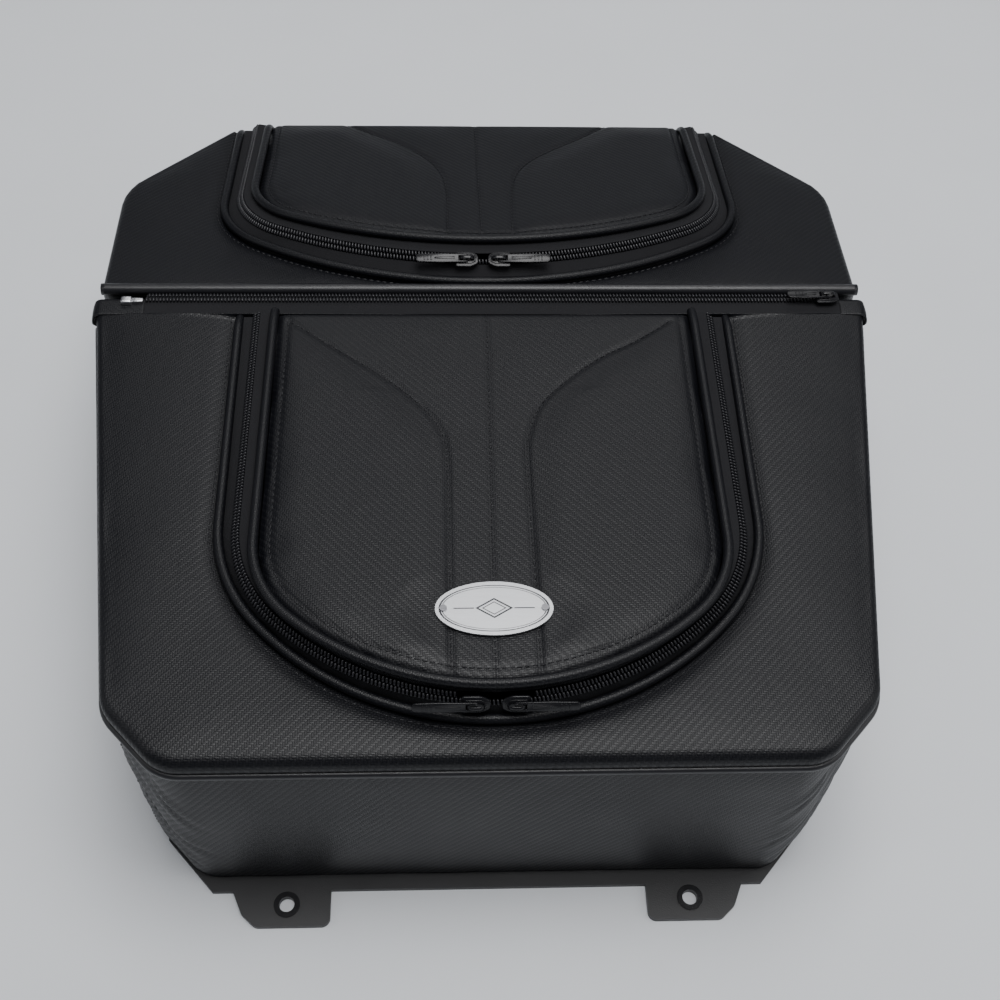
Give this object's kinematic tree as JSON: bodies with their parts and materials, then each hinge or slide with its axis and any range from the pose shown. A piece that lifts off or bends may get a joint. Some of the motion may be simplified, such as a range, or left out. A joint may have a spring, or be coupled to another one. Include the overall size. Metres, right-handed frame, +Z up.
{
  "type": "soft motorcycle luggage bag",
  "caption": "Soft-sided motorcycle luggage bag on a tabbed base plate, with a ridge zip between two sloping top sections and a zipped U-shaped pocket on each.",
  "frame": {"origin": "underside of the base plate, at the middle of the bag's overall width and length", "axes": "+X to the right of someone facing the front wall, +Y from the front wall to the tail, +Z up"},
  "size_m": [0.5748, 0.648, 0.2263],
  "materials": {
    "base_metal": "black powder coat, satin",
    "bright_metal": "bright zinc",
    "rivet_metal": "plain, slightly dull",
    "plate_metal": "fine brushed, clear coated",
    "padded_vinyl": "black vinyl embossed with a woven twill, satin",
    "stiff_board": "matt black sheet",
    "liner": "matt black lined sheet",
    "piping_vinyl": "smooth black vinyl over cord, semi-gloss",
    "zip_coil": "black nylon",
    "zip_tape": "black woven tape",
    "zip_metal": "black enamel"
  },
  "bodies": {
    "bag": {"base_plate": "base_metal", "tab_washers": "bright_metal", "floor_board": "stiff_board", "floor_rivets": "rivet_metal", "front_wall": "padded_vinyl", "back_wall": "padded_vinyl", "left_wall": "padded_vinyl", "right_wall": "padded_vinyl", "front_board": "stiff_board", "back_board": "stiff_board", "left_board": "stiff_board", "right_board": "stiff_board", "near_panel": "padded_vinyl", "near_tray": "liner", "near_outer_piping": "piping_vinyl", "near_outer_tape": "zip_tape", "near_outer_coil": "zip_coil", "main_near_coil": "zip_coil", "main_near_tape": "zip_tape", "main_end_stop": "bright_metal", "zip_tail_left": "zip_tape", "zip_tail_right": "zip_tape", "near_seam_bead": "piping_vinyl"},
    "lid": {"lid_panel": "padded_vinyl", "far_tray": "liner", "far_outer_piping": "piping_vinyl", "far_outer_tape": "zip_tape", "far_outer_coil": "zip_coil", "main_lid_coil": "zip_coil", "main_lid_tape": "zip_tape", "lid_edge_bead": "piping_vinyl"},
    "near_flap": {"near_flap": "padded_vinyl", "near_inner_piping": "piping_vinyl", "near_inner_tape": "zip_tape", "near_inner_coil": "zip_coil", "oval_plate": "plate_metal", "plate_rivets": "rivet_metal"},
    "far_flap": {"far_flap": "padded_vinyl", "far_inner_piping": "piping_vinyl", "far_inner_tape": "zip_tape", "far_inner_coil": "zip_coil"},
    "near_slider_left": {"near_slider_left": "zip_metal"},
    "near_pull_left": {"near_pull_left": "zip_metal"},
    "near_slider_right": {"near_slider_right": "zip_metal"},
    "near_pull_right": {"near_pull_right": "zip_metal"},
    "far_slider_left": {"far_slider_left": "zip_metal"},
    "far_pull_left": {"far_pull_left": "zip_metal"},
    "far_slider_right": {"far_slider_right": "zip_metal"},
    "far_pull_right": {"far_pull_right": "zip_metal"},
    "main_slider": {"main_slider": "zip_metal"},
    "main_pull": {"main_pull": "zip_metal"}
  },
  "joints": [
    {"name": "lid_hinge", "type": "hinge", "parent": "bag", "child": "lid", "pos_m": [0, 0.32353, 0.14326], "axis": [-1, 0, 0], "range_deg": [0, 75]},
    {"name": "near_flap_hinge", "type": "hinge", "parent": "bag", "child": "near_flap", "pos_m": [0, 0.04997, 0.21041], "axis": [-1, 0, 0], "range_deg": [0, 80]},
    {"name": "far_flap_hinge", "type": "hinge", "parent": "lid", "child": "far_flap", "pos_m": [0, 0.31838, 0.15762], "axis": [-1, 0, 0], "range_deg": [0, 80]},
    {"name": "near_slider_left_travel", "type": "hinge", "parent": "bag", "child": "near_slider_left", "pos_m": [0, -0.0676, 0.21357], "axis": [0, 0.0108, -0.9999], "range_deg": [0, 38]},
    {"name": "near_slider_right_travel", "type": "hinge", "parent": "bag", "child": "near_slider_right", "pos_m": [0, -0.0676, 0.21357], "axis": [0, -0.0108, 0.9999], "range_deg": [0, 38]},
    {"name": "far_slider_left_travel", "type": "hinge", "parent": "lid", "child": "far_slider_left", "pos_m": [0, 0.40381, 0.1409], "axis": [0, -0.2396, -0.9709], "range_deg": [0, 26]},
    {"name": "far_slider_right_travel", "type": "hinge", "parent": "lid", "child": "far_slider_right", "pos_m": [0, 0.40381, 0.1409], "axis": [0, 0.2396, 0.9709], "range_deg": [0, 26]},
    {"name": "near_pull_left_swing", "type": "hinge", "parent": "near_slider_left", "child": "near_pull_left", "pos_m": [-0.012, -0.26521, 0.21308], "axis": [0, 0.416, 0.9094], "range_deg": [0, 100]},
    {"name": "near_pull_right_swing", "type": "hinge", "parent": "near_slider_right", "child": "near_pull_right", "pos_m": [0.012, -0.26521, 0.21308], "axis": [0, -0.416, -0.9094], "range_deg": [0, 100]},
    {"name": "far_pull_left_swing", "type": "hinge", "parent": "far_slider_left", "child": "far_pull_left", "pos_m": [-0.012, 0.09927, 0.22024], "axis": [0, 0.9263, 0.3769], "range_deg": [0, 100]},
    {"name": "far_pull_right_swing", "type": "hinge", "parent": "far_slider_right", "child": "far_pull_right", "pos_m": [0.012, 0.09927, 0.22024], "axis": [0, -0.9263, -0.3769], "range_deg": [0, 100]},
    {"name": "main_slider_travel", "type": "slide", "parent": "bag", "child": "main_slider", "axis": [-1, 0, 0], "range_m": [0, 0.47]},
    {"name": "main_pull_swing", "type": "hinge", "parent": "main_slider", "child": "main_pull", "pos_m": [0.2525, 0.06446, 0.21803], "axis": [0, 0.9991, 0.0422], "range_deg": [0, 100]}
  ]
}
